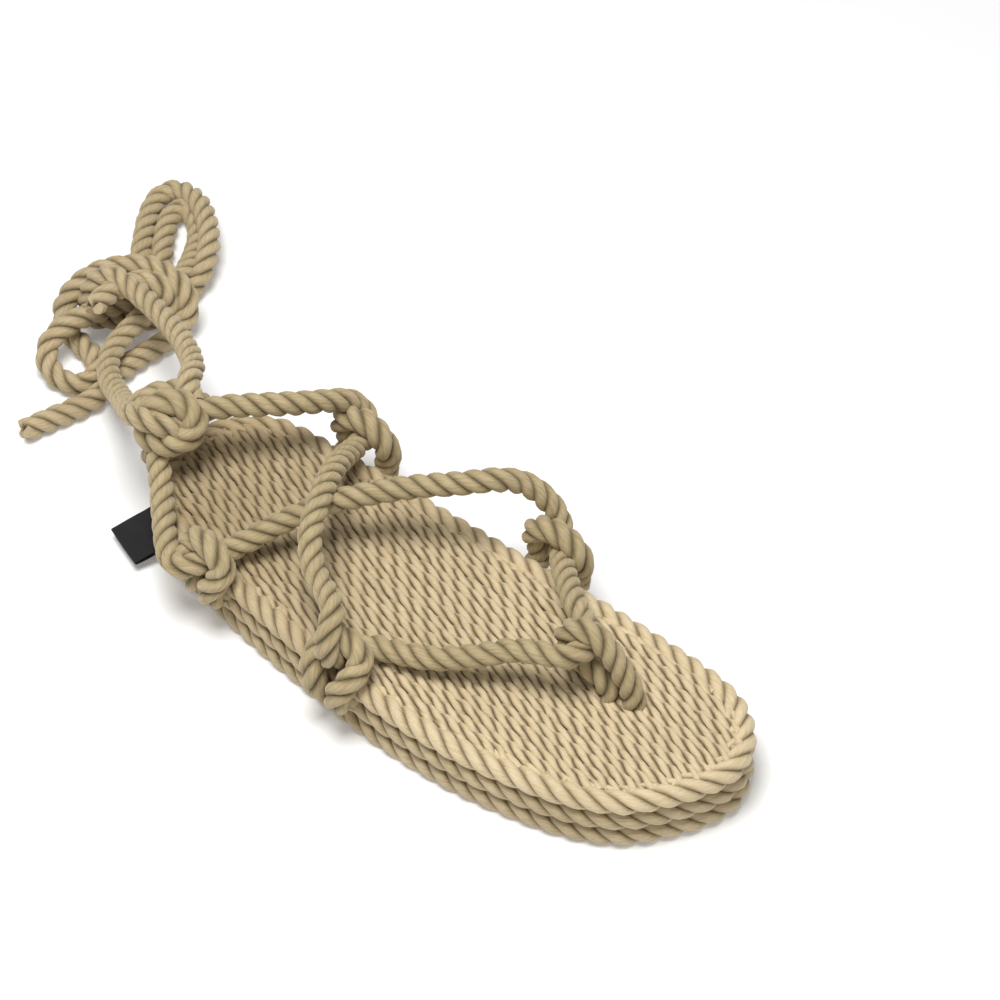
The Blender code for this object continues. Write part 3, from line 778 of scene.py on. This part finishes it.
STRAP_INNER = (
    (-0.0180, 0.0500, 0.0430),
    (-0.0148, 0.0548, 0.0438),
    (-0.0105, 0.0585, 0.0446),
    (-0.0045, 0.0590, 0.0450),
    (0.0012, 0.0560, 0.0450),
    (0.0035, 0.0505, 0.0446),
    (0.0055, 0.0440, 0.0432),
    (0.0085, 0.0370, 0.0415),
    (0.0151, 0.0275, 0.0375),
    (0.0225, 0.0150, 0.0340),
    (0.0265, 0.0030, 0.0320),
    (0.0300, -0.0085, 0.0305),
    (0.0370, -0.0130, 0.0302),
    (0.0435, -0.0138, 0.0330),
    (0.0463, -0.0140, 0.0395),
    (0.0440, -0.0150, 0.0460),
    (0.0375, -0.0180, 0.0495),
    (0.0310, -0.0270, 0.0480),
    (0.0260, -0.0360, 0.0480),
    (0.0160, -0.0460, 0.0510),
    (0.0000, -0.0540, 0.0525),
    (-0.0170, -0.0620, 0.0470),
    (-0.0310, -0.0680, 0.0385),
    (-0.0400, -0.0712, 0.0328),
    (-0.0485, -0.0730, 0.0310),
    (-0.0540, -0.0770, 0.0335),
    (-0.0530, -0.0815, 0.0390),
    (-0.0460, -0.0835, 0.0450),
    (-0.0345, -0.0895, 0.0492),
    (-0.0240, -0.0985, 0.0510),
    (-0.0150, -0.1080, 0.0515),
    (-0.0091, -0.1129, 0.0515),
    (-0.0062, -0.1165, 0.0508),
)
lacing = smooth(STRAP_OUTER + STRAP_INNER, ROUTE_STEP)
rope_piece("straps", lacing, LACE_FINISH, "rope", "upper_straps", rope_diameter=LACE)
print("lacing length in mm:", round(1000 * route_length(lacing)))

# %% [markdown]
# ## The loops at the edge
#
# Each loop is a short length of the same rope that comes out of the sole's upper seam, stands
# up outside the border, and goes back in. The lacing is drawn through it.

# %% The loops at the edge
OUTSIDE = ROPE_RADIUS + 3 * GAP
LEG_SEAT = 0.0080
EDGE_LOOPS = {
    # name: (side, rear leg y, front leg y, half arch, top z, lean)
    "loop_front_lateral": (1, -0.0178, -0.0070, 0.0086, 0.0392, 0.0110),
    "loop_front_medial": (-1, 0.0075, 0.0250, 0.0106, 0.0402, 0.0020),
    "loop_rear_lateral": (1, -0.0850, -0.0740, 0.0088, 0.0385, 0.0045),
    "loop_rear_medial": (-1, -0.0815, -0.0635, 0.0106, 0.0400, 0.0020),
}


def edge_loop_points(name):
    """The rope of one edge loop: out of the seam, up outside the border, over the arch and back."""
    side, rear_y, front_y, half, top, lean = EDGE_LOOPS[name]
    middle = (rear_y + front_y) / 2
    legs = []
    for y, sense in ((rear_y, -1), (front_y, 1)):
        edge = edge_x(y, side)
        out = edge + side * OUTSIDE
        arch_x = out - side * lean
        legs.append([
            (edge - side * LEG_SEAT, y, SEAM_HIGH),
            (edge - side * ROPE_RADIUS * 0.3, y, SEAM_HIGH),
            (edge + side * OUTSIDE * 0.75, y, SEAM_HIGH + ROPE_RADIUS * 0.2),
            (out + side * GAP, y, SEAM_HIGH + ROPE_RADIUS * 1.5),
            (out - side * lean * 0.25, middle + sense * half * 0.95,
             (SEAM_HIGH + top) / 2 + ROPE_RADIUS * 0.2),
            (arch_x + side * lean * 0.15, middle + sense * half, top - half * 0.75),
            (arch_x, middle + sense * half * 0.74, top - half * 0.28),
        ])
    centre = (edge_x(middle, side) + side * (OUTSIDE - lean), middle, top)
    return legs[0] + [centre] + legs[1][::-1]


for name in EDGE_LOOPS:
    rope_piece(name + "_rope", smooth(edge_loop_points(name), ROUTE_STEP), LACE_FINISH, "rope_light",
               name, rope_diameter=LOOP_ROPE)

# %% The loop between the toes and the loop at the heel
THONG_REAR = (-0.0090, 0.0690)
THONG_FRONT = (-0.0105, 0.0780)
THONG_ARCH = (
    (-0.0088, 0.0665, 0.0310),
    (-0.0082, 0.0590, 0.0345),
    (-0.0077, 0.0530, 0.0378),
    (-0.0074, 0.0500, 0.0426),
    (-0.0078, 0.0520, 0.0480),
    (-0.0084, 0.0568, 0.0514),
    (-0.0092, 0.0625, 0.0505),
    (-0.0099, 0.0675, 0.0455),
    (-0.0104, 0.0725, 0.0385),
    (-0.0107, 0.0765, 0.0320),
)
HEEL_LOOP_X = -0.0075
HEEL_LOOP_HALF = 0.0090
HEEL_LOOP_TOP = 0.0370


def thong_points():
    """The loop between the toes, from one seat in the top layer over the strap to the other."""
    deep = SEAM_HIGH + 3 * GAP
    rear = [(*THONG_REAR, deep), (*THONG_REAR, SEAM_HIGH + LAYER)]
    front = [(*THONG_FRONT, SEAM_HIGH + LAYER), (*THONG_FRONT, deep)]
    return rear + list(THONG_ARCH) + front


def heel_loop_points():
    """The loop at the back end: out of the seam behind the heel, up to the knot and back."""
    near = min(RING, key=lambda point: abs(point.x - HEEL_LOOP_X - HEEL_LOOP_HALF) + (point.y > 0))
    back = near.y
    legs = []
    for sense in (-1, 1):
        x = HEEL_LOOP_X + sense * HEEL_LOOP_HALF
        legs.append([
            (x, back + LEG_SEAT, SEAM_HIGH),
            (x, back + ROPE_RADIUS, SEAM_HIGH),
            (x, back - OUTSIDE * 0.55, SEAM_HIGH + ROPE_RADIUS * 0.25),
            (x, back - OUTSIDE, SEAM_HIGH + ROPE_RADIUS * 1.35),
            (x, back - OUTSIDE, (SEAM_HIGH + HEEL_LOOP_TOP) / 2),
            (x - sense * HEEL_LOOP_HALF * 0.25, back - OUTSIDE, HEEL_LOOP_TOP - HEEL_LOOP_HALF * 0.30),
        ])
    centre = (HEEL_LOOP_X, HEEL_END_Y - OUTSIDE, HEEL_LOOP_TOP)
    return legs[0] + [centre] + legs[1][::-1]


rope_piece("thong_rope", smooth(thong_points(), ROUTE_STEP), LACE_FINISH, "rope_light", "thong_loop",
           rope_diameter=LACE)
rope_piece("heel_loop_rope", smooth(heel_loop_points(), ROUTE_STEP), LACE_FINISH, "rope_light",
           "heel_loop")

# %% [markdown]
# ## The sole
#
# A layer is a border rope that follows the outline, filled with straight rows of rope from
# heel to toe. The rows show on the top face and on the underside. A thin dark core inside
# each layer closes the small gaps between the round ropes, as the glue and thread do in the
# real one; its dark colour is painted shade in those gaps. The middle and bottom layers take a
# darker copy of the top layer's rope, which paints shade on the side walls.

# %% The sole
BORDER_SIDES = 10
ROW_SIDES = 8
ROW_STEP = 0.0016
ROW_ROPE = 0.0056
ROW_SHARE = 0.50
ROW_LAY = 0.0215
ROW_SINK = 0.0024
TWILL_RISE = 0.01075
ROW_SWAY = 0.00034
ROW_BEND = 0.010
SEAM_DROP = 0.0014
ROW_UNEVENNESS = 0.00036
ROW_TUCK = 0.45
SEAM_INSET = 0.98
SLOW_WAVE, QUICK_WAVE, LIFT_WAVE = (2.4, 95.0), (5.1, 210.0), (3.7, 130.0)
QUICK_SHARE = LIFT_SHARE = 0.6
BORDER_FULLNESS = 1.06
BORDER_TURN = 0.9
# Painted shade: the core's dark colour shows in the gaps between the round ropes.
CORE_SHADE_COLOUR = (0.10, 0.07, 0.035, 1.0)
CORE_LOW, CORE_HIGH, CORE_INSET = 0.40, 0.60, 0.55


def row_places():
    """The x of each straight rope row inside the border, and where it meets the border at both ends."""
    ring = inset(RING, BORDER)
    left = min(point.x for point in ring)
    right = max(point.x for point in ring)
    count = int((right - left) / ROW_PITCH)
    first = (left + right) / 2 - (count - 1) * ROW_PITCH / 2
    rows = []
    for number in range(count):
        x = first + number * ROW_PITCH
        crossings = []
        for start, end in zip(ring, ring[1:] + ring[:1]):
            if (start.x - x) * (end.x - x) < 0:
                share = (x - start.x) / (end.x - start.x)
                crossings.append(start.y + share * (end.y - start.y))
        if len(crossings) > 1:
            rows.append((x, min(crossings), max(crossings)))
    return rows


CORE_SHADE_FINISH = plain_material("sole_core_shade", CORE_SHADE_COLOUR, 0.9)


def mesh_piece(name, shape, finish):
    """An object from a finished bmesh, with its one material."""
    mesh = bpy.data.meshes.new(name)
    shape.to_mesh(mesh)
    shape.free()
    mesh.materials.append(finish)
    return new_object(name, mesh)


def core_plate(name, level):
    """The flat core of a layer, a little inside its border rope."""
    low = level * LAYER + LAYER * CORE_LOW
    high = level * LAYER + LAYER * CORE_HIGH
    shape = bmesh.new()
    ring = inset(RING, BORDER * CORE_INSET)
    face = shape.faces.new([shape.verts.new((point.x, point.y, low)) for point in ring])
    top = bmesh.ops.extrude_face_region(shape, geom=[face])
    bmesh.ops.translate(shape, verts=[item for item in top["geom"] if isinstance(item, bmesh.types.BMVert)],
                        vec=(0.0, 0.0, high - low))
    bmesh.ops.recalc_face_normals(shape, faces=shape.faces)
    place_on_body(mesh_piece(name, shape, CORE_SHADE_FINISH), "rope_dark")


def wave(number, y, shape):
    """A wave along a row, which starts at another place in each row."""
    shift, pace = shape
    return math.sin(number * shift + y * pace)


def row_lines(height, under):
    """The rows of one face, diving under the border at their ends, and a low ring in the seam there."""
    seam = [point + Vector((0.0, 0.0, height + under)) for point in inset(RING, BORDER * SEAM_INSET)]
    lines = [(seam, True, 0.0)]
    for number, (x, start, end) in enumerate(row_places()):
        low, high = start - BORDER * ROW_TUCK, end + BORDER * ROW_TUCK
        count = max(2, round((high - low) / ROW_BEND))
        route = []
        for place in range(count + 1):
            y = low + (high - low) * place / count
            sway = wave(number, y, SLOW_WAVE) + QUICK_SHARE * wave(number, y, QUICK_WAVE)
            lift = ROW_SWAY * LIFT_SHARE * wave(number, y, LIFT_WAVE)
            dive = under if place in (0, count) else 0.0
            route.append((x + ROW_SWAY * sway, y, height + lift + dive))
        turn = 2 * math.pi * (start - number * TWILL_RISE) / ROW_LAY
        lines.append((smooth(route, ROUTE_STEP), False, turn))
    return lines


# The middle and bottom layers take the darker copy of the sole rope, as painted shade on the side walls.
LAYERS = (("sole_bottom_layer", SHADED_SIDE_FINISH, "rope_dark"), ("sole_middle_layer", SHADED_SIDE_FINISH, "rope_dark"),
          ("sole_top_layer", SOLE_FINISH, "rope"))
for level, (name, finish, slot) in enumerate(LAYERS):
    middle = level * LAYER + LAYER / 2
    border = [point + Vector((0.0, 0.0, middle)) for point in inset(RING, BORDER / 2)]
    piece = lay_rope(name + "_border", [(border, True, level * BORDER_TURN)], finish,
                     rope_diameter=LAYER * BORDER_FULLNESS, lay_length=SOLE_LAY,
                     strand_sides=BORDER_SIDES)
    place_on_body(piece, slot, name)
    if name != "sole_middle_layer":
        height = level * LAYER + (LAYER - ROW_SINK if level else ROW_SINK)
        under = -SEAM_DROP if level else SEAM_DROP
        rows = lay_rope(name + "_rows", row_lines(height, under), finish, rope_diameter=ROW_ROPE,
                        lay_length=ROW_LAY, strand_sides=ROW_SIDES, strand_share=ROW_SHARE,
                        step=ROW_STEP, unevenness=ROW_UNEVENNESS)
        place_on_body(rows, slot)
    core_plate("core_%d" % level, level)

# %% [markdown]
# ## The ribbon tab
#
# A short black ribbon, folded double, is sewn into the lower seam at the heel. It droops a
# little to the floor. Both of its faces are blank; only the weave of the ribbon shows.

# %% The ribbon tab
TAB_FOLD = (0.0312, -0.1233, 0.0042)
TAB_INWARD = (-0.926, 0.377)
TAB_LENGTH = 0.021
TAB_HALF_WIDTH = 0.0098
TAB_PLY = 0.0004
TAB_RISE = 0.0046
TAB_STEPS = 24
TAB_CURL = 0.0005
TAB_DROOP = 1.3


def tab_profile():
    """Along the ribbon: out on the upper ply, round the fold, and back on the lower ply."""
    upper, lower = [], []
    for number in range(TAB_STEPS + 1):
        share = number / TAB_STEPS
        middle = TAB_RISE * share ** TAB_DROOP
        open_by = TAB_PLY * (0.9 + 0.9 * math.sin(math.pi * min(1.0, share * 1.6)))
        upper.append((share * TAB_LENGTH, middle + open_by + TAB_PLY))
        lower.append((share * TAB_LENGTH, middle - open_by))
    nose = [(-TAB_PLY * out, TAB_PLY * up) for out, up in ((1.2, 1.2), (1.5, 0.5), (1.2, -0.2))]
    return upper[::-1] + nose + lower


def ribbon_material():
    """Black ribbon: fine ribs across it, with threads going over and under each other."""
    made = plain_material("black_ribbon", (0.010, 0.010, 0.011, 1.0), 0.62)
    tree = made.node_tree
    place = tree.nodes.new("ShaderNodeUVMap").outputs[0]
    ribs, threads = (add(tree, "ShaderNodeTexWave",
                         {"Vector": place, "Scale": scale, "Distortion": distortion, "Detail": 1.0},
                         bands_direction=direction).outputs["Fac"]
                     for scale, distortion, direction in ((14.0, 0.4, "Y"), (20.0, 0.6, "X")))
    weave = math_node(tree, "MAXIMUM", ribs, math_node(tree, "MULTIPLY", threads, 0.8))
    lint = add(tree, "ShaderNodeTexNoise", {"Vector": place, "Scale": 60.0, "Detail": 3.0}).outputs[0]
    tone = mixed(tree, mapped(tree, weave, 0.2, 0.9), (0.006, 0.006, 0.007, 1.0), (0.026, 0.026, 0.028, 1.0))
    tone = mixed(tree, mapped(tree, lint, 0.60, 0.75, 0.0, 0.5), tone, (0.06, 0.06, 0.06, 1.0))
    shader = tree.nodes["Principled BSDF"]
    tree.links.new(tone, shader.inputs["Base Color"])
    relief = add(tree, "ShaderNodeBump", {"Strength": 0.5, "Distance": 0.00015, "Height": weave})
    tree.links.new(relief.outputs[0], shader.inputs["Normal"])
    shader.inputs["Sheen Weight"].default_value = 0.3
    return made


def build_tab():
    """The folded ribbon as one closed strip, with its own length and width as its map."""
    shape = bmesh.new()
    layer = shape.loops.layers.uv.new("UVMap")
    profile = tab_profile()
    inward = Vector((*TAB_INWARD, 0.0))
    across = Vector((-inward.y, inward.x, 0.0))
    columns = []
    for number in range(TAB_STEPS + 1):
        side = (2 * number / TAB_STEPS - 1) * TAB_HALF_WIDTH
        curl = TAB_CURL * (side / TAB_HALF_WIDTH) ** 2
        columns.append([shape.verts.new(Vector(TAB_FOLD) + inward * reach + across * side
                                        + Vector((0.0, 0.0, height + curl))) for reach, height in profile])
    for number, (first, second) in enumerate(zip(columns, columns[1:])):
        for place in range(len(profile) - 1):
            face = shape.faces.new((first[place], first[place + 1], second[place + 1], second[place]))
            face.smooth = True
            corners = ((number, place), (number, place + 1), (number + 1, place + 1), (number + 1, place))
            for loop, (column, row) in zip(face.loops, corners):
                loop[layer].uv = (column / TAB_STEPS, row / TAB_STEPS)
    bmesh.ops.solidify(shape, geom=shape.faces[:], thickness=TAB_PLY)
    bmesh.ops.recalc_face_normals(shape, faces=shape.faces)
    place_on_body(mesh_piece("ribbon_tab", shape, ribbon_material()), "tab_black", "side_tab")


build_tab()

# %% [markdown]
# ## The floor and the light
#
# The photograph was taken on a white table under a broad soft light. Here the key light stands
# high above and to the outer side, with a weak fill from beyond the toe, so the faint shadows
# fall towards the inner side. The table glows a little, which keeps it nearly as white as in the
# photograph.

# %% The floor and the light
WHITE = (1.0, 1.0, 1.0, 1.0)
LIT_SPOT = Vector((0.0, -0.05, 0.0))
FLOOR_SIZE = 6.0
FLOOR_LOOK = (0.86, 0.86, 0.86, 1.0)
FLOOR_ROUGHNESS = 0.7
FLOOR_GLOW = 0.14
WORLD_STRENGTH = 0.26


def area_light(name, place, size, power):
    data = bpy.data.lights.new(name, "AREA")
    data.shape = "DISK"
    data.size = size
    data.energy = power
    lamp = new_object(name, data)
    lamp.location = place
    aim(lamp, LIT_SPOT - Vector(place))


def build_floor():
    bpy.ops.mesh.primitive_plane_add(size=FLOOR_SIZE)
    floor = bpy.context.object
    floor.name = "floor"
    white = plain_material("white_table", FLOOR_LOOK, FLOOR_ROUGHNESS)
    glow = white.node_tree.nodes["Principled BSDF"].inputs
    glow["Emission Color"].default_value = WHITE
    glow["Emission Strength"].default_value = FLOOR_GLOW
    floor.data.materials.append(white)


build_floor()
area_light("broad_key", (0.25, -0.05, 1.40), 0.7, 19.4)
area_light("soft_fill", (0.5, 1.1, 0.8), 1.2, 3.0)
world = bpy.data.worlds.new("studio")
world.use_nodes = True
sky = world.node_tree.nodes["Background"].inputs
sky["Color"].default_value = WHITE
sky["Strength"].default_value = WORLD_STRENGTH
bpy.context.scene.world = world
bpy.context.scene.view_settings.view_transform = "Standard"
